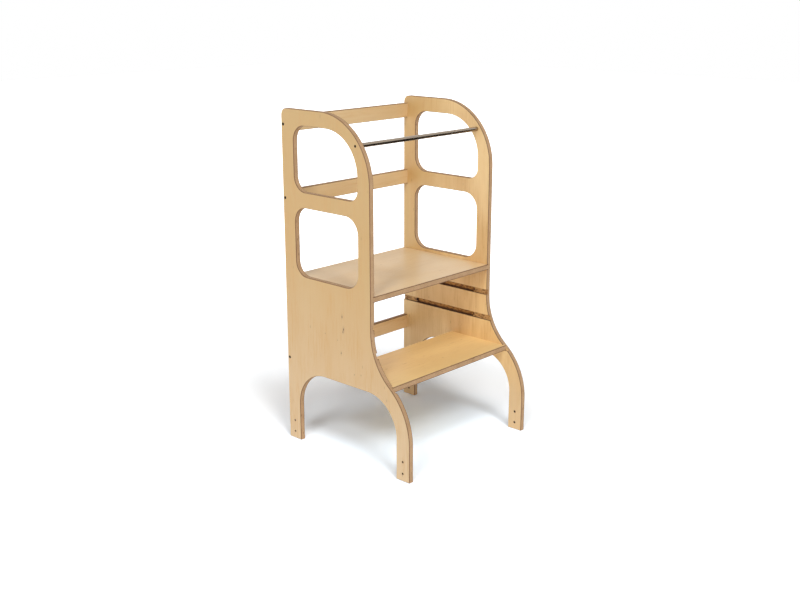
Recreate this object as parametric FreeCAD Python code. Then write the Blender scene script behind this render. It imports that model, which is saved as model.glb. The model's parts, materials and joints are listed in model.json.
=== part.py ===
import FreeCAD, Part
import math
import os

# A toddler's kitchen helper stool in birch plywood, in millimetres.
# X runs across the stool, its front faces -Y and Z is up. The origin is on the floor, in the middle of the
# footprint. In the side panels' own plane, s is the distance forward of their rear edge and z the height.

from FreeCAD import Rotation, Vector

# Overall
WIDTH = 476.0
HEIGHT = 900.0
FOOT_DEPTH = 447.0                # rear edge to the toes of the front feet
UPPER_DEPTH = 315.0               # rear edge to the front edge of the panels and the platform
PLY = 15.0
ARRIS = 1.2                       # taken off the panels' outlines and windows and the boards' long edges

# Side panel outline
LEG_WIDTH = 44.5
REAR_TOP_RADIUS = 18.0
FRONT_TOP_RADIUS = 170.0
SWEEP_HOLLOW_RADIUS = 166.0       # where the front edge turns out towards the front leg
SWEEP_KNEE_RADIUS = 180.0         # where it turns down again into the leg
KNEE_HEIGHT = 95.0                # below this the front leg is straight
ARCH_RADIUS = 100.0
ARCH_TOP = 207.0

# Windows
WINDOW_REAR = 44.5
WINDOW_FRONT = 273.0
WINDOW_RADIUS = 40.0
UPPER_WINDOW = (691.0, 860.0)     # sill and head
UPPER_WINDOW_FRONT_RADII = (28.0, 110.0)
LOWER_WINDOW = (467.5, 650.5)
LOWER_WINDOW_FRONT_RADII = (40.0, 45.0)

# Platform, step and the grooves that hold them
PLATFORM_CENTRE_Z = 450.0
GROOVE_PITCH = 72.5
GROOVE_COUNT = 3                  # the platform's own pair of grooves and two empty ones below it
GROOVE_DEPTH = 5.5
GROOVE_HEIGHT = 15.4
TENON = 5.0                       # how far a board reaches into a groove
RELIEF_DEPTH = 9.0                # the deeper middle of a platform groove
RELIEF_RADIUS = 3.0
LOCK_INSET = 50.0                 # lock screws and the ends of the relief, from the board's long edges
STEP_CENTRE_Z = 230.0
STEP_REAR = 189.0
STEP_FRONT = 384.0

# Rear rails and their fixings
RAIL_HEIGHT = 40.0
RAIL_CENTRES_Z = {"top_rear_rail": 859.0, "middle_rear_rail": 669.0, "low_rear_rail": 232.0}
RAIL_SCREW_RADIUS = 2.5
RAIL_SCREW_LENGTH = 50.0
RAIL_SCREW_HEAD_RADIUS = 4.0
RAIL_SCREW_HEAD_DEPTH = 2.6
DOWEL_RADIUS = 3.0
DOWEL_LENGTH = 30.0
DOWEL_IN_PANEL = 10.0
DOWEL_DROP = 11.5                 # below the screw

# Grab bar
BAR_RADIUS = 6.0
BAR_S = 268.0
BAR_Z = 827.0
BAR_CHAMFER = 0.5
BAR_SCREW_RADIUS = 2.5
BAR_SCREW_LENGTH = 35.0
BAR_SCREW_HEAD_RADIUS = 3.5
BAR_SCREW_HEAD_DEPTH = 1.6

# Pocket screws under the platform and the step
POCKET_ANGLE = 15.0
POCKET_RADIUS = 4.75
POCKET_LAND = 14.0                # from the shoulder that the head pulls on to the board's end
POCKET_SCREW_RADIUS = 2.0
POCKET_SCREW_LENGTH = 22.0
POCKET_HEAD_RADIUS = 4.0
POCKET_HEAD_HEIGHT = 2.4
PILOT_DEPTH = 6.5                 # below the shallow floor of a groove
LOCK_GAP = 1.0                    # from the point of a drawn-back lock screw to the board's end

# Holes, sockets and foot holes
SMALL_FLATS = 8                   # dowels, shanks, pocket screw heads and the bores for them have flats
HOLE_SLACK = 0.5                  # at the bottom of a blind hole
SOCKET_FLATS = 6
SOCKET_ACROSS = 3.0
SOCKET_DEPTH = 2.0
FOOT_HOLE_RADIUS = 2.5
FOOT_HOLES_Z = (20.0, 52.0)

REAR_Y = FOOT_DEPTH / 2
OUTER_X = WIDTH / 2
INNER_X = OUTER_X - PLY
TENON_X = INNER_X + TENON
BEYOND = 5.0                      # how far a cutting tool runs past the face that it opens
SAME = 1e-6                       # places closer than this count as one
SIDES = {"left": -1, "right": 1}


def at(x, s, z):
    """The place at x across, s forward of the rear edge and z up."""
    return Vector(x, REAR_Y - s, z)


def polar(centre, radius, degrees):
    """The point on a circle in the panel's plane, at an angle from forward towards up."""
    angle = math.radians(degrees)
    return (centre[0] + radius * math.cos(angle), centre[1] + radius * math.sin(angle))


class Outline:
    """A closed outline in the panel's plane, drawn with straight lines and tangent arcs."""

    def __init__(self, start):
        self.edges = []
        self.start = start
        self.pen = start

    def line(self, *end):
        if math.dist(self.pen, end) > SAME:
            self.edges.append(Part.LineSegment(at(0, *self.pen), at(0, *end)).toShape())
        self.pen = end

    def arc(self, centre, radius, first, last):
        begin, middle, end = (polar(centre, radius, a) for a in (first, (first + last) / 2, last))
        self.line(*begin)
        self.edges.append(Part.Arc(at(0, *begin), at(0, *middle), at(0, *end)).toShape())
        self.pen = end

    def solid(self, x, thickness):
        """The outline closed and made into a sheet from x to x + thickness."""
        self.line(*self.start)
        face = Part.Face(Part.Wire(self.edges))
        face.translate(Vector(x, 0, 0))
        return face.extrude(Vector(thickness, 0, 0))


def rod(start, direction, radius, length):
    """A cylinder from start along direction."""
    return Part.makeCylinder(radius, length, start, direction)


def prism(start, direction, radius, length, flats=SMALL_FLATS):
    """A rod with flats, whose corners lie at radius."""
    turn = Rotation(Vector(0, 0, 1), direction)
    corners = [start + turn.multVec(Vector(*polar((0, 0), radius, 360 * corner / flats), 0))
               for corner in range(flats + 1)]
    return Part.Face(Part.makePolygon(corners)).extrude(direction * length)


def block(x_range, s_range, z_range):
    """A box given by its limits across, forward of the rear edge and up."""
    size = [high - low for low, high in (x_range, s_range, z_range)]
    return Part.makeBox(*size, at(x_range[0], s_range[1], z_range[0]))


def mirrored(shape, side):
    """A shape drawn for the right of the stool, put on the side where it belongs."""
    return shape if side > 0 else shape.mirror(Vector(0, 0, 0), Vector(1, 0, 0))


def both_sides(shapes):
    return [mirrored(shape, side) for side in SIDES.values() for shape in shapes]


def eased(sheet, is_edge):
    """A sheet with the arris taken off its chosen edges."""
    return sheet.makeChamfer(ARRIS, [edge for edge in sheet.Edges if is_edge(edge)])


def lies_in_face(edge, x_faces):
    """True if an edge lies in one of the planes across the stool at x_faces."""
    box = edge.BoundBox
    return any(max(abs(box.XMin - x), abs(box.XMax - x)) < SAME for x in x_faces)


def runs_across(edge):
    """True for a straight edge along X."""
    box = edge.BoundBox
    return box.YLength < SAME and box.ZLength < SAME


# ---------------------------------------------------------------- side panels

def panel_outline():
    """The outside of a side panel. Two tangent arcs take its front edge out to the front leg."""
    knee = (FOOT_DEPTH - SWEEP_KNEE_RADIUS, KNEE_HEIGHT)
    hollow_s = UPPER_DEPTH + SWEEP_HOLLOW_RADIUS
    between = SWEEP_HOLLOW_RADIUS + SWEEP_KNEE_RADIUS
    hollow = (hollow_s, knee[1] + math.sqrt(between ** 2 - (hollow_s - knee[0]) ** 2))
    turn = math.degrees(math.atan2(hollow[1] - knee[1], hollow[0] - knee[0]))
    arch_z = ARCH_TOP - ARCH_RADIUS
    leg_front = FOOT_DEPTH - LEG_WIDTH
    outline = Outline((0, 0))
    outline.arc((REAR_TOP_RADIUS, HEIGHT - REAR_TOP_RADIUS), REAR_TOP_RADIUS, 180, 90)
    outline.arc((UPPER_DEPTH - FRONT_TOP_RADIUS, HEIGHT - FRONT_TOP_RADIUS), FRONT_TOP_RADIUS, 90, 0)
    outline.arc(hollow, SWEEP_HOLLOW_RADIUS, 180, 180 + turn)
    outline.arc(knee, SWEEP_KNEE_RADIUS, turn, 0)
    outline.line(FOOT_DEPTH, 0)
    outline.line(leg_front, 0)
    outline.arc((leg_front - ARCH_RADIUS, arch_z), ARCH_RADIUS, 0, 90)
    outline.arc((LEG_WIDTH + ARCH_RADIUS, arch_z), ARCH_RADIUS, 90, 180)
    outline.line(LEG_WIDTH, 0)
    return outline


def window_outline(sill, head, front_radii):
    """A window with its own radius at each front corner, the lower one first."""
    low, high = front_radii
    outline = Outline((WINDOW_REAR, sill + WINDOW_RADIUS))
    outline.arc((WINDOW_REAR + WINDOW_RADIUS, head - WINDOW_RADIUS), WINDOW_RADIUS, 180, 90)
    outline.arc((WINDOW_FRONT - high, head - high), high, 90, 0)
    outline.arc((WINDOW_FRONT - low, sill + low), low, 0, -90)
    outline.arc((WINDOW_REAR + WINDOW_RADIUS, sill + WINDOW_RADIUS), WINDOW_RADIUS, -90, -180)
    return outline


def platform_groove(z):
    """A full-length groove with a deeper relief in its middle and a pilot hole at each end of that."""
    low, high = z - GROOVE_HEIGHT / 2, z + GROOVE_HEIGHT / 2
    groove = block((INNER_X - BEYOND, INNER_X + GROOVE_DEPTH), (-BEYOND, FOOT_DEPTH), (low, high))
    relief = block((INNER_X - BEYOND, INNER_X + RELIEF_DEPTH), lock_screws_s(), (low, high))
    relief = relief.makeFillet(RELIEF_RADIUS, [edge for edge in relief.Edges if runs_across(edge)])
    pilots = [pilot_hole(s, z) for s in lock_screws_s()]
    return groove.multiFuse([relief, *pilots])


def pilot_hole(s, z):
    """The hole in a panel that a lock screw's point goes into."""
    floor = at(INNER_X + GROOVE_DEPTH, s, z)
    return prism(floor - slant() * TENON, slant(), POCKET_SCREW_RADIUS, TENON + PILOT_DEPTH)


def step_groove():
    """The step's groove, which stops at the step's rear edge and opens at the front."""
    z_range = (STEP_CENTRE_Z - PLY / 2, STEP_CENTRE_Z + PLY / 2)
    groove = block((INNER_X - BEYOND, INNER_X + TENON), (STEP_REAR, FOOT_DEPTH), z_range)
    return groove.multiFuse([screw_path(s, STEP_CENTRE_Z) for s in step_screws_s()])


def foot_holes():
    centres_s = (LEG_WIDTH / 2, FOOT_DEPTH - LEG_WIDTH / 2)
    reach = PLY + 2 * BEYOND
    return [rod(at(INNER_X - BEYOND, s, z), Vector(1, 0, 0), FOOT_HOLE_RADIUS, reach)
            for s in centres_s for z in FOOT_HOLES_Z]


def side_panel():
    """The right-hand panel. The left one is its mirror image."""
    sheet = panel_outline().solid(INNER_X, PLY)
    windows = ((UPPER_WINDOW, UPPER_WINDOW_FRONT_RADII), (LOWER_WINDOW, LOWER_WINDOW_FRONT_RADII))
    for window, radii in windows:
        sheet = sheet.cut(window_outline(*window, radii).solid(INNER_X - BEYOND, PLY + 2 * BEYOND))
    sheet = eased(sheet, lambda edge: lies_in_face(edge, (INNER_X, OUTER_X)))
    cuts = [platform_groove(PLATFORM_CENTRE_Z - level * GROOVE_PITCH) for level in range(GROOVE_COUNT)]
    cuts += [step_groove(), *foot_holes()]
    cuts += [rail_screw_hole(z) for z in RAIL_CENTRES_Z.values()]
    cuts += [dowel(z, HOLE_SLACK) for z in RAIL_CENTRES_Z.values()]
    cuts += [bar_screw_hole()]
    return sheet.cut(cuts).removeSplitter()


# ---------------------------------------------------------------- screws and dowels

def countersunk(tip_x, s, z, radius, length, head_radius, head_depth):
    """A countersunk screw along X with its head flush at the outer face, or the hole for it."""
    outward = Vector(1, 0, 0)
    shank = prism(at(tip_x, s, z), outward, radius, length - head_depth)
    head = Part.makeCone(radius, head_radius, head_depth, at(tip_x + length - head_depth, s, z), outward)
    return shank.fuse(head).removeSplitter()


def with_socket(screw, s, z):
    """A countersunk screw with the six-sided socket cut into its head."""
    start = at(OUTER_X - SOCKET_DEPTH, s, z)
    return screw.cut(prism(start, Vector(1, 0, 0), SOCKET_ACROSS / math.sqrt(3), SOCKET_DEPTH, SOCKET_FLATS))


def rail_screw_sizes(z):
    return (OUTER_X - RAIL_SCREW_LENGTH, PLY / 2, z, RAIL_SCREW_RADIUS, RAIL_SCREW_LENGTH,
            RAIL_SCREW_HEAD_RADIUS, RAIL_SCREW_HEAD_DEPTH)


def rail_screw_hole(z):
    return countersunk(*rail_screw_sizes(z))


def rail_screw(z):
    return with_socket(rail_screw_hole(z), PLY / 2, z)


def bar_screw_sizes():
    return (OUTER_X - BAR_SCREW_LENGTH, BAR_S, BAR_Z, BAR_SCREW_RADIUS, BAR_SCREW_LENGTH,
            BAR_SCREW_HEAD_RADIUS, BAR_SCREW_HEAD_DEPTH)


def bar_screw_hole():
    return countersunk(*bar_screw_sizes())


def bar_screw():
    return with_socket(bar_screw_hole(), BAR_S, BAR_Z)


def dowel_start_x():
    return INNER_X + DOWEL_IN_PANEL - DOWEL_LENGTH


def dowel(z, slack=0):
    """A beech dowel below the rail's screw, or with slack at its ends the hole for it."""
    start = at(dowel_start_x() - slack, PLY / 2, z - DOWEL_DROP)
    return prism(start, Vector(1, 0, 0), DOWEL_RADIUS, DOWEL_LENGTH + 2 * slack)


def slant():
    """The direction of a pocket screw at the right-hand end of a board: out, and up into the panel."""
    return Rotation(Vector(0, 1, 0), -POCKET_ANGLE).multVec(Vector(1, 0, 0))


def screw_path(s, z):
    """The hole for a pocket screw's shank, from the shoulder of its pocket to its point."""
    shoulder = at(TENON_X, s, z) - slant() * POCKET_LAND
    return prism(shoulder, slant(), POCKET_SCREW_RADIUS, POCKET_SCREW_LENGTH)


def pocket(s, z):
    """A slanting pocket that opens in a board's underside, with its screw's path to the board's end."""
    shoulder = at(TENON_X, s, z) - slant() * POCKET_LAND
    reach = PLY / math.sin(math.radians(POCKET_ANGLE))
    return rod(shoulder, slant() * -1, POCKET_RADIUS, reach).fuse(screw_path(s, z))


def pocket_screw(s, z, drawn_back):
    """A pan-head screw in its pocket, drawn back from tight by the given distance."""
    shoulder = at(TENON_X, s, z) - slant() * (POCKET_LAND + drawn_back)
    shank = prism(shoulder, slant(), POCKET_SCREW_RADIUS, POCKET_SCREW_LENGTH)
    return shank.fuse(prism(shoulder, slant() * -1, POCKET_HEAD_RADIUS, POCKET_HEAD_HEIGHT))


# ---------------------------------------------------------------- rails, bar, platform and step

def rear_rail(z):
    """A rail between the panels, flush with their rear edges, drilled for its screws and dowels."""
    rail = block((-INNER_X, INNER_X), (0, PLY), (z - RAIL_HEIGHT / 2, z + RAIL_HEIGHT / 2))
    return eased(rail, runs_across).cut(both_sides([rail_screw_hole(z), dowel(z, HOLE_SLACK)]))


def grab_bar():
    """A round steel bar with a tapped hole in each end."""
    bar = rod(at(-INNER_X, BAR_S, BAR_Z), Vector(1, 0, 0), BAR_RADIUS, 2 * INNER_X)
    ends = [edge for edge in bar.Edges if edge.Curve.TypeId == "Part::GeomCircle"]
    return bar.makeChamfer(BAR_CHAMFER, ends).cut(both_sides([bar_screw_hole()]))


def housed_board(s_range, z, pockets_s):
    """A board whose ends go into grooves, with eased long edges and pockets in its underside."""
    board = block((-TENON_X, TENON_X), s_range, (z - PLY / 2, z + PLY / 2))
    return eased(board, runs_across).cut(both_sides([pocket(s, z) for s in pockets_s]))


def platform_seat_z():
    """The platform lies on the lower face of its grooves."""
    return PLATFORM_CENTRE_Z - (GROOVE_HEIGHT - PLY) / 2


def lock_screws_s():
    return (LOCK_INSET, UPPER_DEPTH - LOCK_INSET)


def step_screws_s():
    return (STEP_REAR + LOCK_INSET, STEP_FRONT - LOCK_INSET)


def parts():
    """Every node's solids."""
    panel = side_panel()
    solids = {name + "_side_panel": [mirrored(panel, side)] for name, side in SIDES.items()}
    solids.update({name: [rear_rail(z)] for name, z in RAIL_CENTRES_Z.items()})
    solids["front_grab_bar"] = [grab_bar()]
    solids["standing_platform"] = [housed_board((0, UPPER_DEPTH), platform_seat_z(), lock_screws_s())]
    solids["step_board"] = [housed_board((STEP_REAR, STEP_FRONT), STEP_CENTRE_Z, step_screws_s())]
    solids["rail_screws"] = both_sides([rail_screw(z) for z in RAIL_CENTRES_Z.values()])
    solids["rail_dowels"] = both_sides([dowel(z) for z in RAIL_CENTRES_Z.values()])
    solids["grab_bar_screws"] = both_sides([bar_screw()])
    solids["step_screws"] = both_sides([pocket_screw(s, STEP_CENTRE_Z, 0) for s in step_screws_s()])
    drawn_back = POCKET_SCREW_LENGTH - POCKET_LAND + LOCK_GAP
    solids["platform_lock_screws"] = both_sides(
        [pocket_screw(s, platform_seat_z(), drawn_back) for s in lock_screws_s()])
    return solids


def main():
    os.makedirs("parts", exist_ok=True)
    for name, solids in parts().items():
        shape = solids[0] if len(solids) == 1 else Part.makeCompound(solids)
        if not shape.isValid():
            raise ValueError(name + " is not a valid shape")
        shape.exportStep("parts/" + name + ".step")
        box = shape.BoundBox
        print(f"{name}: {len(shape.Solids)} solid(s), {shape.Volume / 1000:.1f} cm3, "
              f"x {box.XMin:.1f}..{box.XMax:.1f}, y {box.YMin:.1f}..{box.YMax:.1f}, "
              f"z {box.ZMin:.1f}..{box.ZMax:.1f}")


main()
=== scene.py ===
"""Looks of a toddler's kitchen helper stool in birch plywood, laid out as a Blender add-on.

Everything is in metres, in the stool's own frame: X runs across it, its front faces -Y and Z is up from the floor.
"""

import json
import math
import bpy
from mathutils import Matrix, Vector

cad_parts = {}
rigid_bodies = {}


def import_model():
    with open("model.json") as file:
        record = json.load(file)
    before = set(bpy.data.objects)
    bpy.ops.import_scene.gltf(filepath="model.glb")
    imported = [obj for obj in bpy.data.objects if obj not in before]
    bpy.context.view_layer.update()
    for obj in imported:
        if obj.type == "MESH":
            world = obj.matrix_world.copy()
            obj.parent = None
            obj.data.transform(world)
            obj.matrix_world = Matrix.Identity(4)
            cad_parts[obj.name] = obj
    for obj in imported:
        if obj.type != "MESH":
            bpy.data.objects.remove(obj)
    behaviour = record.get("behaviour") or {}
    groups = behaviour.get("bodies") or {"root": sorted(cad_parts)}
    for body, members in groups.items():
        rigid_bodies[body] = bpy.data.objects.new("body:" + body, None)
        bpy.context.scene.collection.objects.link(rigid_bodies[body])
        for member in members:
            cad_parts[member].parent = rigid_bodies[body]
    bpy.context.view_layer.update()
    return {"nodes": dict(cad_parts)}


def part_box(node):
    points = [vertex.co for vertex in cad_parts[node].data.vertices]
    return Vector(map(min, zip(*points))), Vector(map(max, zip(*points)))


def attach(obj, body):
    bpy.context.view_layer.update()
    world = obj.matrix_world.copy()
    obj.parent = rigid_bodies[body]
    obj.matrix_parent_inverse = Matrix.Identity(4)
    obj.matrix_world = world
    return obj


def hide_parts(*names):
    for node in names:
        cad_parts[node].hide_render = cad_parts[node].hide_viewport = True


bl_info = {
    "name": "Kitchen Helper Stool",
    "version": (1, 0, 0),
    "blender": (4, 5, 0),
    "location": "3D View > Sidebar > Stool",
    "description": "Birch veneer, ply edges, steel bar and screws of a helper stool, with a plain stage",
    "category": "Object",
}

import bmesh
import bpy
from bpy.props import FloatProperty, FloatVectorProperty, IntProperty, PointerProperty
from mathutils import Matrix, Vector

for leftover in list(bpy.data.objects):
    bpy.data.objects.remove(leftover)
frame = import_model()

X, Y, Z = range(3)
MM = 0.001
RAILS = ("top_rear_rail", "middle_rear_rail", "low_rear_rail")

# Where the pocket screws sit in the boards that they hold
POCKET_INSET = 50 * MM
POCKET_LAND = 14 * MM
POCKET_SLANT = math.radians(15)
LOCK_SCREWS_DRAWN_BACK = 9 * MM

# The platform's grooves in the side panels. Heights are from the floor, and INTO is from the panel's inner face
TOP_GROOVE_Z = 450 * MM
GROOVE_PITCH = 72.5 * MM
GROOVE_HALF = 8.2 * MM
GROOVES_REACH = GROOVE_PITCH + 10 * MM
GROOVE_INTO = (0.6 * MM, 9.4 * MM)
RELIEF_INTO = 6 * MM
RELIEF_MIDDLE_Y = 66 * MM
RELIEF_HALF = 107.5 * MM
# The darkening along the reliefs' long edges is partly painted shade under the groove's lips and partly scorch
RELIEF_SHADE_AND_BURN = (2.0 * MM, 6.0 * MM)
PILOT_INTO = (5 * MM, 14 * MM)
PILOT_FADE = (4.6 * MM, 3.0 * MM)

# The two holes in each leg, whose walls are painted dark as shade inside them. The dark rim round them, partly scorch
# and partly painted shade, shows more on the right panel
LEG_HOLE_Y = 201.25 * MM
LEG_HOLES_Z = 36 * MM
LEG_HOLES_HALF_PITCH = 16 * MM
LEG_HOLE_WALL = 3.2 * MM
LEG_HOLE_RIM = (3.9 * MM, 3.3 * MM)
LEFT_RIM, RIGHT_RIM = 0.4, 0.95

# Knots and flecks in the left panel's outer face: millimetres from its rear edge and up from the floor, and radius
LEFT_KNOTS = ((213.6, 388, 1.5), (218.5, 355, 1.9), (216, 348, 1.3), (208.6, 289, 1.3), (256, 242, 0.7),
              (280, 246, 0.7), (150, 330, 0.6), (196, 322, 0.6))

# How often the veneer's figure repeats in a metre: across the grain, through the sheet and along the grain
CLOUD_REPEATS = (11, 11, 3.2)
PATCH_REPEATS = (26, 26, 9)
BROAD_STREAK_REPEATS = (190, 60, 11)
FINE_STREAK_REPEATS = (780, 160, 34)
DARK_STREAK_REPEATS = (330, 90, 38)
PORE_REPEATS = (2100, 500, 160)
FLECK_REPEATS = (130, 130, 30)
PLY_GAP_REPEATS = (95, 620, 95)

# How often the stains in the grooves repeat in a metre: the streaks along, into and up the panel, and the mottling
# along X, Y and Z
GROOVE_STREAK_REPEATS = (120, 600, 700)
GROOVE_MOTTLE_REPEATS = (90, 90, 260)

# How far the figure moves for each step of a sheet's seed, so that no two sheets show the same part of it
SEED_SPREAD = (1.0, 1.7, 2.9)

# How squarely a surface faces through its sheet, from where it stops being an edge to where it is all face
EDGE_TO_FACE = (0.8, 0.97)

# Directions of the soft lamps: azimuth and elevation in degrees
SIDE_LAMP = (-70, 46)
FRONT_LAMP = (-22, 47)
FLOOR_LAMP = (-38, 58)
FLOOR_LAMP_SOFTER = 1.3
LAMP_DISTANCE = 4

# How the floor shows under the stool and in the open, and how far from its middle it changes over. The bluer colour
# under the stool is a painted tint of the stool's shadow
FLOOR_SHADOW_TINT = (0.91, 1.05, 1.2)
FLOOR_OPEN = (1.02, 1.04, 1.06)
FLOOR_CHANGE = (0.1, 0.5)

# The dark card's two faces
CARD_UPRIGHT = ((0.25, -1.3, 0.01), (1.4, -0.3, 0.01), (1.4, -0.3, 1.0), (0.25, -1.3, 1.0))
CARD_FLAT = ((0.45, -1.3, 0.01), (0.45, 0.5, 0.01), (1.6, 0.5, 0.01), (1.6, -1.3, 0.01))

# The camera
CAMERA_PLACE = (-2.0585, -1.8914, 1.1893)
CAMERA_TURN = math.radians(46.97)
CAMERA_DROP = math.radians(16.06)
SENSOR_WIDTH = 36


def tone(red, green, blue):
    """A colour chosen on a screen, as the linear values that shaders take."""
    parts = [part / 255 for part in (red, green, blue)]
    return tuple(part / 12.92 if part <= 0.04045 else ((part + 0.055) / 1.055) ** 2.4 for part in parts)


def colour_setting(name, description, red, green, blue):
    """A colour property with its default as chosen on a screen."""
    return FloatVectorProperty(name=name, description=description, subtype="COLOR", size=3, min=0, max=1,
                               default=tone(red, green, blue))


def length_setting(name, description, millimetres):
    """A length property with its default in millimetres."""
    return FloatProperty(name=name, description=description, subtype="DISTANCE", unit="LENGTH", min=0,
                         default=millimetres * MM)


# ---------------------------------------------------------------- settings

class StoolPlywood(bpy.types.PropertyGroup):
    """Colours and build of the birch plywood."""
    # The left panel's paler tone at its feet is painted bounce light from the floor
    left_foot_painted_bounce: colour_setting("Left Panel Foot", "Birch veneer of the left panel at its feet", 213, 185, 146)
    left_top: colour_setting("Left Panel Top", "Birch veneer of the left panel above the platform", 198, 164, 109)
    right_front: colour_setting("Right Panel Front", "Birch veneer of the right panel at its front", 234, 201, 147)
    # The lighter tone under the platform is painted fill light in the platform's shade
    right_lower_painted_fill: colour_setting("Right Panel Lower", "Birch veneer of the right panel below the platform",
                                239, 206, 148)
    right_foot: colour_setting("Right Panel Foot", "Birch veneer of the right panel at its feet", 212, 182, 138)
    right_rear: colour_setting("Right Panel Rear", "Birch veneer of the right panel at its rear edge", 207, 173, 116)
    deep: colour_setting("Figure", "Deeper tone in the veneer's figure", 199, 154, 96)
    rail: colour_setting("Rails", "Veneer of the upper rails", 217, 186, 139)
    # The low rail's tone is lighter than the upper rails': painted fill light for the platform's shade on it
    low_rail_painted_fill: colour_setting("Low Rail", "Veneer of the low rail", 238, 203, 150)
    board: colour_setting("Platform", "Veneer of the standing platform", 235, 203, 156)
    # The step's warmer tone is its veneer, and its lightness over the platform's is painted light for the platform's
    # shade on it
    step: colour_setting("Step", "Warmer veneer of the step board", 246, 212, 148)
    ply_light: colour_setting("Light Ply", "Plies that show along their grain", 210, 175, 136)
    ply_dark: colour_setting("Dark Ply", "Plies that show their end grain", 164, 128, 90)
    ply_skin: colour_setting("Edge Line", "Dark lines next to both faces of the sheet", 108, 74, 42)
    groove: colour_setting("Groove Floor", "Bare cross ply in the shallow ends of a groove", 214, 166, 104)
    groove_deep: colour_setting("Groove Relief", "Bare cross ply in the deep middle of a groove", 204, 142, 66)
    groove_dark: colour_setting("Groove Stain", "Darker end grain in the grooves", 104, 58, 14)
    # Scorch, and also painted shade inside the holes and along the reliefs' long edges
    scorch_and_shade: colour_setting("Scorch", "Wood that the cutter has burnt in grooves and holes", 64, 34, 8)
    knot: colour_setting("Pin Knot", "Small dark knots and pith flecks", 88, 54, 26)
    beech: colour_setting("Beech", "Turned beech of the dowels", 190, 146, 102)
    plies: IntProperty(name="Plies", description="Veneers in the sheet", default=11, min=3, max=21)
    roughness: FloatProperty(name="Lacquer Roughness", description="Roughness of the satin lacquer", default=0.4,
                             min=0, max=1, subtype="FACTOR")


class StoolMetal(bpy.types.PropertyGroup):
    """Colours of the bar and the screws."""
    steel: colour_setting("Bar Steel", "Brushed stainless steel of the grab bar", 170, 155, 138)
    black: colour_setting("Black Screws", "Black plated heads in the panels", 14, 11, 8)
    zinc: colour_setting("Zinc Screws", "Bright zinc of the pocket screws", 200, 200, 196)
    bar_roughness: FloatProperty(name="Bar Roughness", description="Roughness of the brushed steel", default=0.2,
                                 min=0, max=1, subtype="FACTOR")


class StoolScrews(bpy.types.PropertyGroup):
    """Sizes of the screws."""
    rail_length: length_setting("Rail Screw", "Length of a rail screw", 50)
    rail_head: length_setting("Rail Head", "Radius of a rail screw's head", 4.0)
    rail_head_depth: length_setting("Rail Head Depth", "Depth of a rail screw's countersunk head", 2.6)
    bar_length: length_setting("Bar Screw", "Length of a grab bar screw", 35)
    bar_head: length_setting("Bar Head", "Radius of a grab bar screw's head", 3.5)
    bar_head_depth: length_setting("Bar Head Depth", "Depth of a grab bar screw's countersunk head", 1.6)
    shank: length_setting("Shank", "Radius of a rail or bar screw's shank", 2.5)
    socket: length_setting("Socket", "Width across the flats of the six-sided socket", 3.0)
    pocket_length: length_setting("Pocket Screw", "Length of a pocket screw under its head", 22)
    pocket_head: length_setting("Pocket Head", "Radius of a pocket screw's pan head", 4.0)
    pocket_head_height: length_setting("Pocket Head Height", "Height of a pocket screw's pan head", 2.4)
    pocket_shank: length_setting("Pocket Shank", "Radius over a pocket screw's thread", 2.0)
    pitch: length_setting("Thread Pitch", "Pitch of a pocket screw's coarse thread", 1.6)


class StoolStage(bpy.types.PropertyGroup):
    """Light, floor and camera."""
    walls: FloatProperty(name="Walls", description="Strength of the light from the white walls all round",
                         default=1.25, min=0)
    ceiling: FloatProperty(name="Ceiling", description="Strength of the light from overhead", default=0.2, min=0)
    side_lamp: FloatProperty(name="Side Lamp", description="Strength of the soft lamp on the left", default=0.9, min=0)
    front_lamp: FloatProperty(name="Front Lamp", description="Strength of the soft lamp in front", default=1.15, min=0)
    floor_lamp: FloatProperty(name="Floor Lamp", description="Strength of the soft lamp that only lights the floor",
                              default=1.0, min=0)
    lamp_size: FloatProperty(name="Lamp Size", description="Angle that each soft lamp fills", subtype="ANGLE",
                             default=math.radians(15), min=0)
    floor: length_setting("Floor", "Width of the floor", 24000)
    lens: FloatProperty(name="Lens", description="Focal length of the camera", unit="CAMERA", default=48.59, min=1)


# ---------------------------------------------------------------- wiring of nodes

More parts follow.
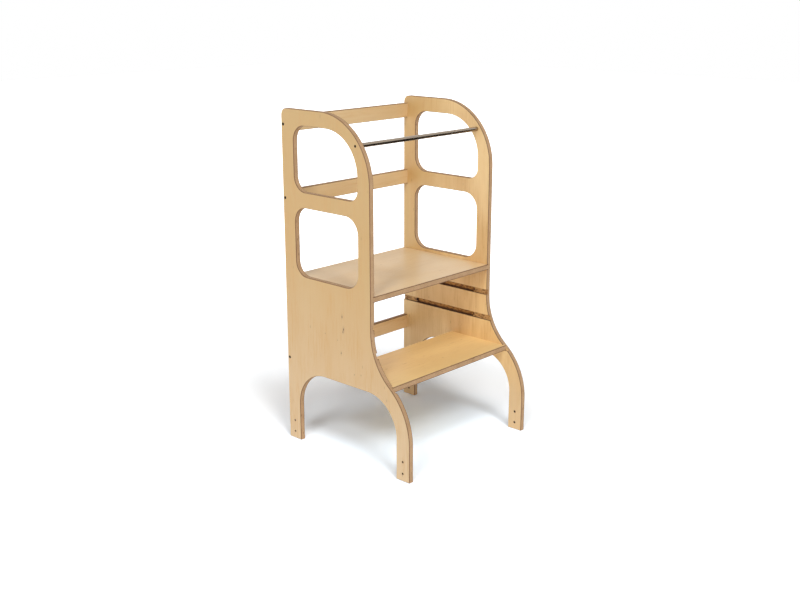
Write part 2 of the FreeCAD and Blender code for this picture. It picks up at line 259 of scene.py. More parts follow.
class Wiring:
    """Adds nodes to one node tree and joins them."""

    def __init__(self, tree):
        self.tree = tree

    def node(self, kind, **options):
        made = self.tree.nodes.new(kind)
        for name, value in options.items():
            setattr(made, name, value)
        return made

    def feed(self, socket, value):
        """Links a socket to another one, or sets its value."""
        if isinstance(value, bpy.types.NodeSocket):
            self.tree.links.new(value, socket)
        elif socket.type == "RGBA" and len(value) == 3:
            socket.default_value = (*value, 1)
        else:
            socket.default_value = value

    def feed_all(self, sockets, values):
        for socket, value in zip(sockets, values):
            self.feed(socket, value)

    def math(self, operation, *values, clamp=False):
        made = self.node("ShaderNodeMath", operation=operation, use_clamp=clamp)
        self.feed_all(made.inputs, values)
        return made.outputs[0]

    def vector_math(self, operation, *values):
        made = self.node("ShaderNodeVectorMath", operation=operation)
        self.feed_all(made.inputs, values)
        return made.outputs["Value" if operation == "LENGTH" else "Vector"]

    def split(self, vector):
        made = self.node("ShaderNodeSeparateXYZ")
        self.feed(made.inputs[0], vector)
        return made.outputs

    def combine(self, *parts):
        made = self.node("ShaderNodeCombineXYZ")
        self.feed_all(made.inputs, parts)
        return made.outputs[0]

    def noise(self, place, repeats, detail=2.0, roughness=0.5):
        made = self.node("ShaderNodeTexNoise")
        self.feed(made.inputs["Vector"], self.vector_math("MULTIPLY", place, repeats))
        made.inputs["Scale"].default_value = 1.0
        made.inputs["Detail"].default_value = detail
        made.inputs["Roughness"].default_value = roughness
        return made.outputs["Fac"]

    def rare_spots(self, place, repeats, rarity, rim, heart):
        """Spots in the few cells whose random value is over rarity, which fade in from rim to heart."""
        cells = self.node("ShaderNodeTexVoronoi")
        self.feed(cells.inputs["Vector"], self.vector_math("MULTIPLY", place, repeats))
        cells.inputs["Scale"].default_value = 1.0
        rare = self.math("GREATER_THAN", self.split(cells.outputs["Color"])[X], rarity)
        return self.math("MULTIPLY", self.span(cells.outputs["Distance"], rim, heart), rare)

    def span(self, value, low, high, to_low=0.0, to_high=1.0):
        """Eases value from to_low to to_high while it runs from low to high."""
        made = self.node("ShaderNodeMapRange", interpolation_type="SMOOTHSTEP")
        for name, given in (("Value", value), ("From Min", low), ("From Max", high), ("To Min", to_low),
                            ("To Max", to_high)):
            self.feed(made.inputs[name], given)
        return made.outputs["Result"]

    def between(self, value, low, high):
        """1 where value is over low and under high, and 0 elsewhere."""
        return self.math("MULTIPLY", self.math("GREATER_THAN", value, low), self.math("LESS_THAN", value, high))

    def mix(self, share, first, second):
        made = self.node("ShaderNodeMix", data_type="RGBA")
        self.feed(made.inputs["Factor"], share)
        self.feed(made.inputs[6], first)
        self.feed(made.inputs[7], second)
        return made.outputs[2]

    def group(self, name, inputs):
        made = self.node("ShaderNodeGroup", node_tree=bpy.data.node_groups[name])
        for label, value in inputs.items():
            self.feed(made.inputs[label], value)
        return made.outputs


def new_group(name, inputs, outputs):
    """An empty shader node group with named sockets, its wiring, its inputs and its outputs."""
    tree = bpy.data.node_groups.new(name, "ShaderNodeTree")
    for direction, sockets in (("INPUT", inputs), ("OUTPUT", outputs)):
        for label, kind in sockets.items():
            tree.interface.new_socket(name=label, in_out=direction, socket_type="NodeSocket" + kind)
    wiring = Wiring(tree)
    return wiring, wiring.node("NodeGroupInput").outputs, wiring.node("NodeGroupOutput").inputs


def build_veneer_figure():
    """Rotary-cut birch: slow clouds of tone, uneven streaks along the grain, fine pores and a few pith flecks."""
    wiring, given, out = new_group(
        "Veneer Figure",
        {"Place": "Vector", "Light": "Color", "Deep": "Color", "Fleck": "Color", "Clouds": "Float",
         "Streaks": "Float"},
        {"Colour": "Color", "Gloss": "Float", "Height": "Float"})
    place = given["Place"]
    clouds = wiring.span(wiring.noise(place, CLOUD_REPEATS, detail=3), 0.34, 0.68)
    patches = wiring.span(wiring.noise(place, PATCH_REPEATS), 0.36, 0.62, 0.25, 1.0)
    broad = wiring.span(wiring.noise(place, BROAD_STREAK_REPEATS, detail=3, roughness=0.6), 0.44, 0.74)
    fine = wiring.span(wiring.noise(place, FINE_STREAK_REPEATS, detail=3, roughness=0.6), 0.46, 0.76)
    dark = wiring.span(wiring.noise(place, DARK_STREAK_REPEATS), 0.64, 0.78)
    pores = wiring.span(wiring.noise(place, PORE_REPEATS), 0.5, 0.75)
    streaks = wiring.math("MULTIPLY_ADD", fine, 0.55, broad)
    streaks = wiring.math("MULTIPLY_ADD", pores, 0.2, streaks)
    streaks = wiring.math("MULTIPLY", streaks, patches)
    share = wiring.math("MULTIPLY", clouds, given["Clouds"])
    share = wiring.math("MULTIPLY_ADD", streaks, given["Streaks"], share)
    share = wiring.math("MULTIPLY_ADD", wiring.math("MULTIPLY", dark, patches), 0.5, share, clamp=True)
    colour = wiring.mix(share, given["Light"], given["Deep"])
    flecks = wiring.rare_spots(place, FLECK_REPEATS, 0.93, 0.2, 0.06)
    colour = wiring.mix(wiring.math("MULTIPLY", flecks, 0.35), colour, given["Fleck"])
    wiring.feed(out["Colour"], colour)
    wiring.feed(out["Gloss"], wiring.math("MULTIPLY_ADD", fine, 0.5, wiring.math("MULTIPLY", clouds, 0.5)))
    wiring.feed(out["Height"], wiring.math("MULTIPLY_ADD", pores, 0.6, fine))


def build_ply_layers():
    """The sheet's edge: plies along and across their grain in turn, glue lines, gaps and dark outer layers."""
    wiring, given, out = new_group(
        "Ply Layers",
        {"Place": "Vector", "Depth": "Float", "Plies": "Float", "Light": "Color", "Dark": "Color", "Skin": "Color"},
        {"Colour": "Color", "Height": "Float"})
    place, dark, skin = given["Place"], given["Dark"], given["Skin"]
    wobble = wiring.math("MULTIPLY_ADD", wiring.noise(place, (60, 60, 60)), 0.5, -0.25)
    layer = wiring.math("MULTIPLY_ADD", given["Depth"], given["Plies"], wobble)
    end_grain = wiring.math("GREATER_THAN", wiring.math("FRACT", wiring.math("MULTIPLY", layer, 0.5)), 0.5)
    glue = wiring.span(wiring.math("PINGPONG", layer, 0.5), 0.14, 0.02)
    speckle = wiring.noise(place, (1300, 1300, 1300), detail=3)
    clouds = wiring.span(wiring.noise(place, (34, 34, 34), detail=3), 0.35, 0.7, 0.0, 0.45)
    colour = wiring.mix(end_grain, given["Light"], dark)
    colour = wiring.mix(clouds, colour, dark)
    colour = wiring.mix(wiring.span(speckle, 0.35, 0.7, 0.0, 0.3), colour, dark)
    colour = wiring.mix(wiring.math("MULTIPLY", glue, 0.5), colour, skin)
    from_middle = wiring.math("ABSOLUTE", wiring.math("SUBTRACT", given["Depth"], 0.5))
    colour = wiring.mix(wiring.span(from_middle, 0.3, 0.4, 0.0, 0.75), colour, skin)
    gaps = wiring.rare_spots(place, PLY_GAP_REPEATS, 0.955, 0.42, 0.3)
    colour = wiring.mix(wiring.math("MULTIPLY", gaps, 0.8), colour, skin)
    wiring.feed(out["Colour"], colour)
    wiring.feed(out["Height"], wiring.math("MULTIPLY_ADD", gaps, -2.0, wiring.math("SUBTRACT", speckle, glue)))


def build_arris_wear():
    """A worn line where a face meets an edge, broken up along its length."""
    wiring, given, out = new_group("Arris Wear", {"Place": "Vector", "Facing": "Float", "Amount": "Float"},
                                   {"Mask": "Float"})
    rise = wiring.span(given["Facing"], 0.25, 0.6)
    fall = wiring.span(given["Facing"], 0.97, 0.85)
    broken = wiring.span(wiring.noise(given["Place"], (35, 35, 35), detail=3), 0.3, 0.65, 0.35, 1.0)
    line = wiring.math("MULTIPLY", wiring.math("MULTIPLY", rise, fall), broken)
    wiring.feed(out["Mask"], wiring.math("MULTIPLY", line, given["Amount"]))


def build_pin_knot():
    """A small knot drawn out along the grain, with a soft halo."""
    wiring, given, out = new_group("Pin Knot", {"Place": "Vector", "Centre": "Vector", "Radius": "Float"},
                                   {"Mask": "Float"})
    apart = wiring.vector_math("MULTIPLY", wiring.vector_math("SUBTRACT", given["Place"], given["Centre"]),
                               (1.0, 0.0, 0.38))
    ragged = wiring.math("MULTIPLY_ADD", wiring.noise(given["Place"], (700, 700, 300)), 0.9, 0.55)
    radius = wiring.math("MULTIPLY", given["Radius"], ragged)
    reach = wiring.math("DIVIDE", wiring.vector_math("LENGTH", apart), radius)
    heart = wiring.span(reach, 1.0, 0.45)
    halo = wiring.span(reach, 2.8, 0.8, 0.0, 0.2)
    wiring.feed(out["Mask"], wiring.math("MAXIMUM", heart, halo))


def build_handling_marks():
    """Faint smears of hands and dust that change how an even finish shines."""
    wiring, given, out = new_group("Handling Marks", {"Place": "Vector", "Amount": "Float"}, {"Mask": "Float"})
    smears = wiring.span(wiring.noise(given["Place"], (22, 22, 22), detail=4, roughness=0.65), 0.42, 0.7)
    wiring.feed(out["Mask"], wiring.math("MULTIPLY", smears, given["Amount"]))


def build_groups():
    """Makes the node groups that the materials share."""
    for build in (build_veneer_figure, build_ply_layers, build_arris_wear, build_pin_knot, build_handling_marks):
        build()


def emptied(owner):
    """Clears the nodes of a material or world, and gives its wiring."""
    owner.use_nodes = True
    owner.node_tree.nodes.clear()
    return Wiring(owner.node_tree)


def new_material(name):
    """An empty material, its wiring, its shader, and the place on the piece as a socket."""
    material = bpy.data.materials.new(name)
    wiring = emptied(material)
    shader = wiring.node("ShaderNodeBsdfPrincipled")
    wiring.feed(wiring.node("ShaderNodeOutputMaterial").inputs["Surface"], shader.outputs[0])
    return material, wiring, shader, wiring.node("ShaderNodeTexCoord").outputs["Object"]


def raise_surface(wiring, shader, height, distance):
    """Feeds a shader's normal with a bump of height, where 1 stands distance proud."""
    bump = wiring.node("ShaderNodeBump")
    bump.inputs["Distance"].default_value = distance
    wiring.feed(bump.inputs["Height"], height)
    wiring.feed(shader.inputs["Normal"], bump.outputs[0])


# ---------------------------------------------------------------- materials

def folded(wiring, value, middle, spread):
    """How far value is from the nearer of middle - spread and middle + spread."""
    from_middle = wiring.math("ABSOLUTE", wiring.math("SUBTRACT", value, middle))
    return wiring.math("ABSOLUTE", wiring.math("SUBTRACT", from_middle, spread))


def groove_marks(wiring, xyz, inner, sign):
    """Where a side panel is cut by its grooves, as masks.

    They are the bare surfaces, the deep reliefs, the dark long edges of the reliefs, which are partly painted shade
    under the groove's lips and partly scorch, and the pilot holes, painted dark as shade inside them.
    """
    into = wiring.math("MULTIPLY", wiring.math("SUBTRACT", xyz[X], inner), sign)
    below = wiring.math("SUBTRACT", TOP_GROOVE_Z, xyz[Z])
    off_line = wiring.math("PINGPONG", below, GROOVE_PITCH / 2)
    off_middle = wiring.math("ABSOLUTE", wiring.math("SUBTRACT", below, GROOVE_PITCH))
    level = wiring.math("MULTIPLY", wiring.math("LESS_THAN", off_line, GROOVE_HALF),
                        wiring.math("LESS_THAN", off_middle, GROOVES_REACH))
    cut = wiring.math("MULTIPLY", level, wiring.between(into, *GROOVE_INTO))
    deep = wiring.math("MULTIPLY", cut, wiring.math("GREATER_THAN", into, RELIEF_INTO))
    # Darker along the relief's long edges: partly painted shade in its corners, partly scorch
    burnt = wiring.math("MULTIPLY", wiring.span(off_line, *RELIEF_SHADE_AND_BURN, 0.0, 0.8), deep)
    along = folded(wiring, xyz[Y], RELIEF_MIDDLE_Y, RELIEF_HALF)
    hole = wiring.vector_math("LENGTH", wiring.combine(along, off_line, 0))
    pilot = wiring.math("MULTIPLY", wiring.span(hole, *PILOT_FADE), wiring.between(into, *PILOT_INTO))
    return cut, deep, burnt, wiring.math("MULTIPLY", pilot, level)


def leg_hole_shade_and_rims(wiring, xyz, is_edge, rim_strength):
    """The walls of the holes in the legs, painted dark as shade inside them, and a dark rim round them, partly scorch
    and partly painted shade, as a mask.
    """
    from_hole = wiring.vector_math("LENGTH", wiring.combine(
        folded(wiring, xyz[Y], 0.0, LEG_HOLE_Y), folded(wiring, xyz[Z], LEG_HOLES_Z, LEG_HOLES_HALF_PITCH), 0))
    hole_wall_shade = wiring.math("MULTIPLY", wiring.math("LESS_THAN", from_hole, LEG_HOLE_WALL), is_edge)
    return wiring.math("MAXIMUM", hole_wall_shade, wiring.span(from_hole, *LEG_HOLE_RIM, 0.0, rim_strength))


def paint_cuts(wiring, colour, spot, normals, is_face, is_edge, inner, sign):
    """Adds the grooves and holes of a side panel to its colour, with painted shade in the holes and along the reliefs'
    long edges, and gives the grooves' mask with it.
    """
    ply = bpy.context.scene.stool_plywood
    xyz = wiring.split(spot)
    cut, deep, burnt, pilot = groove_marks(wiring, xyz, inner, sign)
    along_panel = wiring.combine(xyz[Y], xyz[X], xyz[Z])
    streaked = wiring.noise(along_panel, GROOVE_STREAK_REPEATS, detail=4, roughness=0.6)
    mottled = wiring.noise(spot, GROOVE_MOTTLE_REPEATS, detail=3)
    floor = wiring.mix(deep, ply.groove, ply.groove_deep)
    floor = wiring.mix(wiring.span(mottled, 0.42, 0.64, 0.0, 0.7), floor, ply.groove_dark)
    floor = wiring.mix(wiring.span(streaked, 0.5, 0.72, 0.0, 0.6), floor, ply.scorch_and_shade)
    # Painted shade and scorch along the relief's long edges
    floor = wiring.mix(burnt, floor, ply.scorch_and_shade)
    colour = wiring.mix(wiring.math("MULTIPLY", cut, is_face), colour, floor)
    walls = wiring.math("MULTIPLY", cut, wiring.math("GREATER_THAN", wiring.math("ABSOLUTE", normals[Z]), 0.7))
    colour = wiring.mix(wiring.math("MULTIPLY", walls, 0.85), colour, ply.scorch_and_shade)
    # The hole walls and the pilot holes take the scorch colour as painted shade inside them, and the rims as scorch
    # with painted shade
    holes = wiring.math("MAXIMUM", leg_hole_shade_and_rims(wiring, xyz, is_edge, RIGHT_RIM if sign > 0 else LEFT_RIM), pilot)
    return wiring.mix(wiring.math("MULTIPLY", holes, 0.9), colour, ply.scorch_and_shade), cut


def plywood(name, node, through, grain, tones, seed, figure, knots=(), panel_sign=None):
    """Plywood of the sheet that a node is cut from.

    through and grain are the axes through the sheet and along its face grain. tones are the veneer's tone, and then
    the tones that it drifts to: (tone, axis, from, to). figure is how strong the clouds and the streaks are. knots are
    (side, across, along, radius), where side is the sign of the face that shows the knot. panel_sign is the side of
    the stool for a side panel, which has grooves in its inner face and holes in its legs.
    """
    ply = bpy.context.scene.stool_plywood
    material, wiring, shader, spot = new_material(name)
    low, high = (corner[through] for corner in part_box(node))
    across = ({X, Y, Z} - {through, grain}).pop()
    xyz = wiring.split(spot)
    place = wiring.combine(xyz[across], xyz[through], xyz[grain])
    figured = wiring.vector_math("ADD", place, tuple(seed * part for part in SEED_SPREAD))
    normals = wiring.split(wiring.node("ShaderNodeNewGeometry").outputs["True Normal"])
    facing = wiring.math("ABSOLUTE", normals[through])
    is_face = wiring.span(facing, *EDGE_TO_FACE)
    is_edge = wiring.math("SUBTRACT", 1.0, is_face)
    depth = wiring.math("DIVIDE", wiring.math("SUBTRACT", xyz[through], low), high - low)

    face, *drifts = tones
    for drifted, axis, start, end in drifts:
        face = wiring.mix(wiring.span(xyz[axis], start, end), face, drifted)
    clouds, streaks = figure
    veneer = wiring.group("Veneer Figure", {"Place": figured, "Light": face, "Deep": ply.deep, "Fleck": ply.knot,
                                            "Clouds": clouds, "Streaks": streaks})
    layers = wiring.group("Ply Layers", {"Place": place, "Depth": depth, "Plies": float(ply.plies),
                                         "Light": ply.ply_light, "Dark": ply.ply_dark, "Skin": ply.ply_skin})
    colour = veneer["Colour"]
    for side, knot_across, knot_along, radius in knots:
        knot = wiring.group("Pin Knot", {"Place": place, "Centre": (knot_across, 0, knot_along), "Radius": radius})
        shown = wiring.math("GREATER_THAN", wiring.math("MULTIPLY", normals[through], side), 0.5)
        colour = wiring.mix(wiring.math("MULTIPLY", knot["Mask"], shown), colour, ply.knot)
    colour = wiring.mix(is_face, layers["Colour"], colour)
    worn = wiring.group("Arris Wear", {"Place": place, "Facing": facing, "Amount": 0.35})
    colour = wiring.mix(worn["Mask"], colour, ply.ply_skin)
    bare = is_edge
    if panel_sign:
        inner = low if panel_sign > 0 else high
        colour, cut = paint_cuts(wiring, colour, spot, normals, is_face, is_edge, inner, panel_sign)
        bare = wiring.math("MAXIMUM", is_edge, cut)
    wiring.feed(shader.inputs["Base Color"], colour)

    marks = wiring.group("Handling Marks", {"Place": figured, "Amount": 0.08})
    rough = wiring.math("MULTIPLY_ADD", veneer["Gloss"], 0.08, ply.roughness - 0.04)
    rough = wiring.math("ADD", rough, marks["Mask"])
    wiring.feed(shader.inputs["Roughness"], wiring.math("MULTIPLY_ADD", bare, 0.28, rough, clamp=True))
    face_height = wiring.math("MULTIPLY", veneer["Height"], is_face)
    edge_height = wiring.math("MULTIPLY", layers["Height"], is_edge)
    raise_surface(wiring, shader, wiring.math("MULTIPLY_ADD", edge_height, 3.0, face_height), 0.02 * MM)
    return material


def metal(name, colour, roughness, metallic, brushed_along=None):
    """Plain or brushed metal with faint marks of handling."""
    material, wiring, shader, spot = new_material(name)
    marks = wiring.group("Handling Marks", {"Place": spot, "Amount": 0.14})
    repeats = [900.0] * 3
    if brushed_along is not None:
        repeats[brushed_along] = 6.0
    lines = wiring.noise(spot, tuple(repeats), detail=3, roughness=0.6)
    rough = wiring.math("ADD", marks["Mask"], roughness)
    rough = wiring.math("MULTIPLY_ADD", wiring.math("SUBTRACT", lines, 0.5), 0.22, rough, clamp=True)
    wiring.feed(shader.inputs["Roughness"], rough)
    darker = tuple(part * 0.72 for part in colour)
    wiring.feed(shader.inputs["Base Color"], wiring.mix(wiring.span(lines, 0.35, 0.7), colour, darker))
    shader.inputs["Metallic"].default_value = metallic
    shader.inputs["Specular IOR Level"].default_value = 0.2
    raise_surface(wiring, shader, lines, 0.01 * MM)
    return material


def turned_beech(name, colour):
    """Turned beech with its short dark rays."""
    material, wiring, shader, spot = new_material(name)
    rays = wiring.span(wiring.noise(spot, (160, 1500, 1500)), 0.55, 0.75)
    wiring.feed(shader.inputs["Base Color"], wiring.mix(rays, colour, tuple(part * 0.6 for part in colour)))
    shader.inputs["Roughness"].default_value = 0.6
    raise_surface(wiring, shader, rays, 0.02 * MM)
    return material


def finish_node(name, material):
    """Gives a CAD node its finish."""
    node = frame["nodes"][name]
    for held in node.material_slots:
        held.material = material


# ---------------------------------------------------------------- pieces made from meshes

def placed(name, data):
    """A new object in the scene for some data."""
    made = bpy.data.objects.new(name, data)
    bpy.context.scene.collection.objects.link(made)
    return made


def object_from(name, mesh, material):
    """A new object in the scene from a bmesh, which is used up."""
    data = bpy.data.meshes.new(name)
    mesh.to_mesh(data)
    mesh.free()
    data.materials.append(material)
    return placed(name, data)


def finish_screws(name, mesh, material, body, node):
    """Makes a piece from a bmesh of screws, which stands for a CAD node."""
    bmesh.ops.recalc_face_normals(mesh, faces=mesh.faces)
    piece = object_from(name, mesh, material)
    piece.data.shade_smooth()
    piece.modifiers.new("Crisp Edges", "EDGE_SPLIT").split_angle = math.radians(32)
    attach(piece, body)
    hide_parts(node)


def round_shape(angle):
    return 1.0


def hexagon(angle):
    """A hexagon's radius at an angle, for one that is 2 across its flats."""
    sector = math.radians(60)
    return 1.0 / math.cos((angle + sector / 2) % sector - sector / 2)


def star(angle):
    """The radius of a six-pointed driver socket at an angle."""
    return 1.0 + 0.14 * math.cos(6 * angle)


def turned(mesh, rings, start, direction, segments=48):
    """Adds a closed body to a bmesh: rings of (distance along, radius, shape) from its first centre to its last."""
    turn = Vector((0, 0, 1)).rotation_difference(direction).to_matrix().to_4x4()
    place = Matrix.Translation(start) @ turn
    angles = [2 * math.pi * step / segments for step in range(segments)]
    loops = [[mesh.verts.new(place @ Vector((radius * shape(angle) * math.cos(angle),
                                             radius * shape(angle) * math.sin(angle), along)))
              for angle in angles] for along, radius, shape in rings]
    for loop, following in zip(loops, loops[1:]):
        for index in range(segments):
            after = (index + 1) % segments
            mesh.faces.new((loop[index], loop[after], following[after], following[index]))
    mesh.faces.new(reversed(loops[0]))
    mesh.faces.new(loops[-1])


def flush_screw(mesh, face_x, y, z, length, head, head_depth):
    """A countersunk screw with a six-sided socket, its head flush with a panel's outer face."""
    screws = bpy.context.scene.stool_screws
    inward = Vector((-math.copysign(1, face_x), 0, 0))
    flat = screws.socket / 2
    rim = 0.15 * MM
    point = 4 * MM
    turned(mesh, [
        (2.0 * MM, flat * 0.35, round_shape),
        (1.8 * MM, flat * 0.98, hexagon),
        (rim, flat, hexagon),
        (0.02 * MM, flat + rim, hexagon),
        (0.0, head - rim, round_shape),
        (rim, head - 0.02 * MM, round_shape),
        (head_depth, screws.shank, round_shape),
        (length - point, screws.shank, round_shape),
        (length, 0.4 * MM, round_shape),
    ], Vector((face_x, y, z)), inward)


def pocket_screw(mesh, end_x, y, z, drawn_back):
    """A pan-head wood screw in its slanting pocket, with its thread and a star socket."""
    screws = bpy.context.scene.stool_screws
    side = math.copysign(1, end_x)
    into_panel = Vector((side * math.cos(POCKET_SLANT), 0, math.sin(POCKET_SLANT)))
    shoulder = Vector((end_x, y, z)) - into_panel * (POCKET_LAND + drawn_back)
    head, height = screws.pocket_head, screws.pocket_head_height
    core = screws.pocket_shank * 0.72
    plain = 3 * MM
    point = 4 * MM
    length = screws.pocket_length
    rings = [
        (-height + 1.4 * MM, 0.5 * MM, round_shape),
        (-height + 1.3 * MM, 1.7 * MM, star),
        (-height + 0.1 * MM, 1.8 * MM, star),
        (-height, 2.1 * MM, round_shape),
        (-height + 0.25 * MM, head * 0.72, round_shape),
        (-height + 0.9 * MM, head * 0.94, round_shape),
        (-0.5 * MM, head, round_shape),
        (0.0, head * 0.97, round_shape),
        (0.0, core * 1.1, round_shape),
        (plain, core * 1.1, round_shape),
    ]
    rings_per_turn = 8
    steps = int((length - plain) / (screws.pitch / rings_per_turn))
    for step in range(1, steps + 1):
        along = plain + (length - plain) * step / steps
        taper = min(1.0, (length - along) / point) * 0.95 + 0.05
        ridge = (screws.pocket_shank / core - 1) * min(1.0, step / rings_per_turn)

        def threaded(angle, along=along, ridge=ridge):
            phase = (along / screws.pitch - angle / (2 * math.pi)) % 1.0
            return 1.0 + ridge * max(0.0, 1.0 - abs(phase - 0.5) * 5)

        rings.append((along, core * taper, threaded))
    turned(mesh, rings, shoulder, into_panel, 24)


# ---------------------------------------------------------------- stage

def seen_directly(wiring):
    """1 for rays from the camera and for what metal and lacquer reflect or pass on."""
    path = wiring.node("ShaderNodeLightPath").outputs
    return wiring.math("MAXIMUM", path["Is Camera Ray"],
                       wiring.math("MAXIMUM", path["Is Glossy Ray"], path["Is Transmission Ray"]))


def show_apart(wiring, output, lights, shows):
    """Feeds an output with one shader for the light that it sends on and another for how it shows."""
    choose = wiring.node("ShaderNodeMixShader")
    wiring.feed_all(choose.inputs, (seen_directly(wiring), lights.outputs[0], shows.outputs[0]))
    wiring.feed(wiring.node(output).inputs["Surface"], choose.outputs[0])


def white_floor():
    """A matt floor that shows white, and keeps the stool's shadow, with a bluer colour under the stool that is a
    painted tint of that shadow.
    """
    material = bpy.data.materials.new("white_floor")
    wiring = emptied(material)
    away = wiring.vector_math("LENGTH", wiring.node("ShaderNodeTexCoord").outputs["Object"])
    lit = wiring.node("ShaderNodeBsdfDiffuse")
    lit.inputs["Color"].default_value = (0.9, 0.9, 0.9, 1)
    shown = wiring.node("ShaderNodeBsdfDiffuse")
    wiring.feed(shown.inputs["Color"], wiring.mix(wiring.span(away, *FLOOR_CHANGE), FLOOR_SHADOW_TINT, FLOOR_OPEN))
    glow = wiring.node("ShaderNodeEmission")
    wiring.feed(glow.inputs["Strength"], wiring.math("ADD", wiring.span(away, 0.35, 0.85, 0.0, 0.1),
                                                     wiring.span(away, 0.9, 2.2, 0.0, 0.7)))
    both = wiring.node("ShaderNodeAddShader")
    wiring.feed_all(both.inputs, (shown.outputs[0], glow.outputs[0]))
    show_apart(wiring, "ShaderNodeOutputMaterial", lit, both)
    return material


def white_room(walls, ceiling):
    """A room with white walls and a darker ceiling, which shows as plain white."""
    world = bpy.data.worlds.new("white_room")
    wiring = emptied(world)
    rise = wiring.split(wiring.node("ShaderNodeTexCoord").outputs["Generated"])[Z]
    light = wiring.node("ShaderNodeBackground")
    wiring.feed(light.inputs["Strength"], wiring.span(rise, 0.05, 0.6, walls, ceiling))
    white = wiring.node("ShaderNodeBackground")
    for shade in (light, white):
        shade.inputs["Color"].default_value = (1, 1, 1, 1)
    show_apart(wiring, "ShaderNodeOutputWorld", light, white)
    bpy.context.scene.world = world


def lay_floor(width):
    """A square floor at the stool's feet."""
    mesh = bmesh.new()
    bmesh.ops.create_grid(mesh, x_segments=1, y_segments=1, size=width / 2)
    floor = object_from("floor", mesh, white_floor())
    return floor


def dark_card():
    """A folded dark card low on the right that only shines back from the bar, and gives it its dark underside."""
    mesh = bmesh.new()
    for corners in (CARD_UPRIGHT, CARD_FLAT):
        mesh.faces.new([mesh.verts.new(corner) for corner in corners])
    material, _, shader, _ = new_material("dark_card")
    shader.inputs["Base Color"].default_value = (0.01, 0.01, 0.01, 1)
    shader.inputs["Roughness"].default_value = 1.0
    card = object_from("dark_card", mesh, material)
    card.visible_camera = card.visible_diffuse = card.visible_transmission = card.visible_shadow = False


def direction(azimuth, elevation):
    """The way to look from the stool. Azimuth 0 is in front of it and a quarter turn is on its right."""
    return Vector((math.sin(azimuth) * math.cos(elevation), -math.cos(azimuth) * math.cos(elevation),
                   math.sin(elevation)))


def soft_lamp(name, azimuth, elevation, strength, size):
    """A lamp as wide as size, far off, with its azimuth and elevation in degrees."""
    data = bpy.data.lights.new(name, "SUN")
    data.energy = strength
    data.angle = size
    lamp = placed(name, data)
    towards = direction(math.radians(azimuth), math.radians(elevation))
    lamp.location = towards * LAMP_DISTANCE
    lamp.rotation_mode = "QUATERNION"
    lamp.rotation_quaternion = towards.to_track_quat("Z", "Y")
    return lamp


def set_camera(lens):
    """Puts the camera where the photograph was taken from."""
    view = bpy.data.cameras.new("camera")
    view.lens = lens
    view.sensor_width = SENSOR_WIDTH
    camera = placed("camera", view)
    camera.location = CAMERA_PLACE
    camera.rotation_mode = "QUATERNION"
    camera.rotation_quaternion = direction(math.pi - CAMERA_TURN, -CAMERA_DROP).to_track_quat("-Z", "Y")
    bpy.context.scene.camera = camera


# ---------------------------------------------------------------- operators

class STOOL_OT_side_panels(bpy.types.Operator):
    """Finish the two side panels in upright birch veneer with their ply edges and bare grooves"""
    bl_idname = "stool.side_panels"
    bl_label = "Side Panels"

    def execute(self, context):
        ply = context.scene.stool_plywood
        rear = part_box("left_side_panel")[1][Y]
        knots = [(-1, rear - from_rear * MM, z * MM, radius * MM) for from_rear, z, radius in LEFT_KNOTS]
        # The left panel's tone drifts upwards; its paler tone at the feet is painted bounce light from the floor
        tones = (ply.left_foot_painted_bounce, (ply.left_top, Z, 0.02, 0.62))
        left = plywood("left_panel_plywood", "left_side_panel", X, Z, tones, 3.1, (0.25, 0.5), knots, -1)
        finish_node("left_side_panel", left)
        # The right panel's drifts to the rear, under the platform and at the foot. The lighter tone under the platform
        # is painted fill light in the platform's shade
        tones = (ply.right_front, (ply.right_rear, Y, 0.0, 0.2), (ply.right_lower_painted_fill, Z, 0.47, 0.36),
                 (ply.right_foot, Z, 0.25, 0.08))
        right = plywood("right_panel_plywood", "right_side_panel", X, Z, tones, 7.7, (0.5, 0.3), panel_sign=1)
        finish_node("right_side_panel", right)
        return {"FINISHED"}


class STOOL_OT_rear_rails(bpy.types.Operator):
    """Finish the three rear rails, whose veneer runs along them"""
    bl_idname = "stool.rear_rails"
    bl_label = "Rear Rails"

    def execute(self, context):
        ply = context.scene.stool_plywood
        # The low rail takes a lighter tone as painted fill light under the platform
        for name, veneer, seed in zip(RAILS, (ply.rail, ply.rail, ply.low_rail_painted_fill), (11, 12, 13)):
            finish_node(name, plywood(name + "_plywood", name, Y, X, (veneer,), seed, (0.3, 0.3)))
        return {"FINISHED"}


class STOOL_OT_platform(bpy.types.Operator):
    """Finish the standing platform"""
    bl_idname = "stool.platform"
    bl_label = "Standing Platform"

    def execute(self, context):
        ply = context.scene.stool_plywood
        material = plywood("platform_plywood", "standing_platform", Z, X, (ply.board,), 19.0, (0.15, 0.15))
        finish_node("standing_platform", material)
        return {"FINISHED"}


class STOOL_OT_step(bpy.types.Operator):
    """Finish the step board in its warmer veneer, which is also lighter as painted light where the platform shades the
    step
    """
    bl_idname = "stool.step"
    bl_label = "Step Board"

    def execute(self, context):
        ply = context.scene.stool_plywood
        material = plywood("step_plywood", "step_board", Z, X, (ply.step,), 23.0, (0.25, 0.15))
        finish_node("step_board", material)
        return {"FINISHED"}


class STOOL_OT_grab_bar(bpy.types.Operator):
    """Finish the grab bar in steel brushed along its length"""
    bl_idname = "stool.grab_bar"
    bl_label = "Grab Bar"

    def execute(self, context):
        finish = context.scene.stool_metal
        finish_node("front_grab_bar", metal("bar_steel", finish.steel, finish.bar_roughness, 1.0, X))
        return {"FINISHED"}


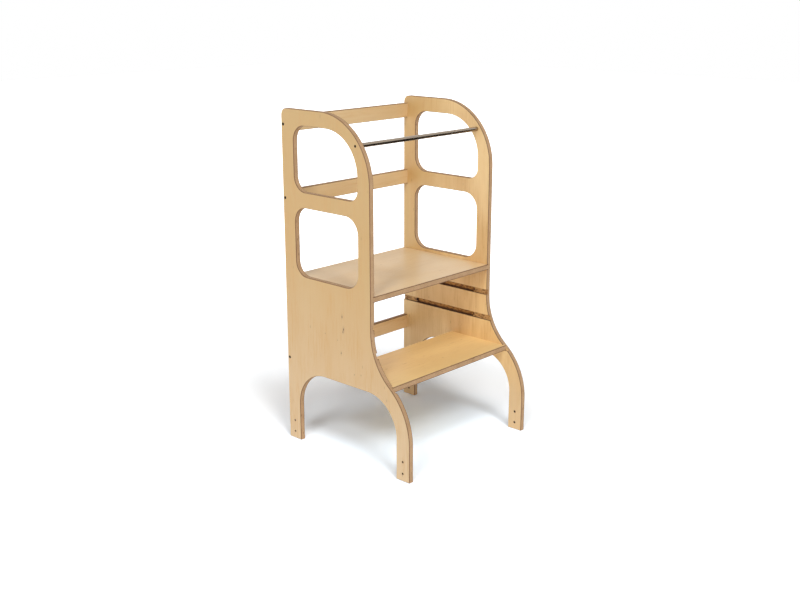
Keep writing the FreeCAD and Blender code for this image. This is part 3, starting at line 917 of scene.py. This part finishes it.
class STOOL_OT_panel_screws(bpy.types.Operator):
    """Make the black socket screws that show in the side panels"""
    bl_idname = "stool.panel_screws"
    bl_label = "Panel Screws"

    def execute(self, context):
        screws = context.scene.stool_screws
        black = metal("black_plating", context.scene.stool_metal.black, 0.7, 0.0)
        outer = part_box("right_side_panel")[1][X]
        for piece, node, held, *sizes in (
                ("rail_socket_screws", "rail_screws", RAILS, screws.rail_length, screws.rail_head,
                 screws.rail_head_depth),
                ("bar_socket_screws", "grab_bar_screws", ("front_grab_bar",), screws.bar_length, screws.bar_head,
                 screws.bar_head_depth)):
            mesh = bmesh.new()
            for low, high in map(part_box, held):
                for face_x in (-outer, outer):
                    flush_screw(mesh, face_x, (low[Y] + high[Y]) / 2, (low[Z] + high[Z]) / 2, *sizes)
            finish_screws(piece, mesh, black, "frame", node)
        return {"FINISHED"}


class STOOL_OT_pocket_screws(bpy.types.Operator):
    """Make the zinc pocket screws under the step and the drawn-back ones under the platform"""
    bl_idname = "stool.pocket_screws"
    bl_label = "Pocket Screws"

    def execute(self, context):
        zinc = metal("bright_zinc", context.scene.stool_metal.zinc, 0.3, 1.0)
        for board, body, drawn_back, piece, node in (
                ("step_board", "frame", 0, "step_pocket_screws", "step_screws"),
                ("standing_platform", "platform", LOCK_SCREWS_DRAWN_BACK, "platform_pocket_screws",
                 "platform_lock_screws")):
            low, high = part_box(board)
            mesh = bmesh.new()
            for end_x in (low[X], high[X]):
                for y in (low[Y] + POCKET_INSET, high[Y] - POCKET_INSET):
                    pocket_screw(mesh, end_x, y, (low[Z] + high[Z]) / 2, drawn_back)
            finish_screws(piece, mesh, zinc, body, node)
        return {"FINISHED"}


class STOOL_OT_dowels(bpy.types.Operator):
    """Finish the beech dowels inside the rails' ends"""
    bl_idname = "stool.dowels"
    bl_label = "Dowels"

    def execute(self, context):
        beech = turned_beech("turned_beech", context.scene.stool_plywood.beech)
        finish_node("rail_dowels", beech)
        return {"FINISHED"}


class STOOL_OT_stage(bpy.types.Operator):
    """Set the white floor, the soft lamps and the camera"""
    bl_idname = "stool.stage"
    bl_label = "Stage"

    def execute(self, context):
        stage = context.scene.stool_stage
        floor = lay_floor(stage.floor)
        white_room(stage.walls, stage.ceiling)
        dark_card()
        soft_lamp("side_soft_lamp", *SIDE_LAMP, stage.side_lamp, stage.lamp_size)
        soft_lamp("front_soft_lamp", *FRONT_LAMP, stage.front_lamp, stage.lamp_size)
        on_floor = bpy.data.collections.new("on_floor")
        on_floor.objects.link(floor)
        lamp = soft_lamp("floor_soft_lamp", *FLOOR_LAMP, stage.floor_lamp, stage.lamp_size * FLOOR_LAMP_SOFTER)
        lamp.light_linking.receiver_collection = on_floor
        set_camera(stage.lens)
        context.scene.view_settings.view_transform = "Standard"
        return {"FINISHED"}


OPERATORS = (STOOL_OT_side_panels, STOOL_OT_rear_rails, STOOL_OT_platform, STOOL_OT_step, STOOL_OT_grab_bar,
             STOOL_OT_panel_screws, STOOL_OT_pocket_screws, STOOL_OT_dowels, STOOL_OT_stage)
SETTINGS = {"stool_plywood": StoolPlywood, "stool_metal": StoolMetal, "stool_screws": StoolScrews,
            "stool_stage": StoolStage}


class STOOL_PT_sidebar(bpy.types.Panel):
    """Lists the stool's settings and the operators that finish it"""
    bl_idname = "STOOL_PT_sidebar"
    bl_label = "Kitchen Helper Stool"
    bl_space_type = "VIEW_3D"
    bl_region_type = "UI"
    bl_category = "Stool"

    def draw(self, context):
        for label, group in SETTINGS.items():
            box = self.layout.box()
            for name in group.__annotations__:
                box.prop(getattr(context.scene, label), name)
        for operator in OPERATORS:
            self.layout.operator(operator.bl_idname)


def register():
    for kind in (*SETTINGS.values(), *OPERATORS, STOOL_PT_sidebar):
        bpy.utils.register_class(kind)
    for label, group in SETTINGS.items():
        setattr(bpy.types.Scene, label, PointerProperty(type=group))


def unregister():
    for label in SETTINGS:
        delattr(bpy.types.Scene, label)
    for kind in reversed((*SETTINGS.values(), *OPERATORS, STOOL_PT_sidebar)):
        bpy.utils.unregister_class(kind)


def main():
    register()
    build_groups()
    bpy.ops.stool.side_panels()
    bpy.ops.stool.rear_rails()
    bpy.ops.stool.platform()
    bpy.ops.stool.step()
    bpy.ops.stool.grab_bar()
    bpy.ops.stool.panel_screws()
    bpy.ops.stool.pocket_screws()
    bpy.ops.stool.dowels()
    bpy.ops.stool.stage()


if __name__ == "__main__":
    main()
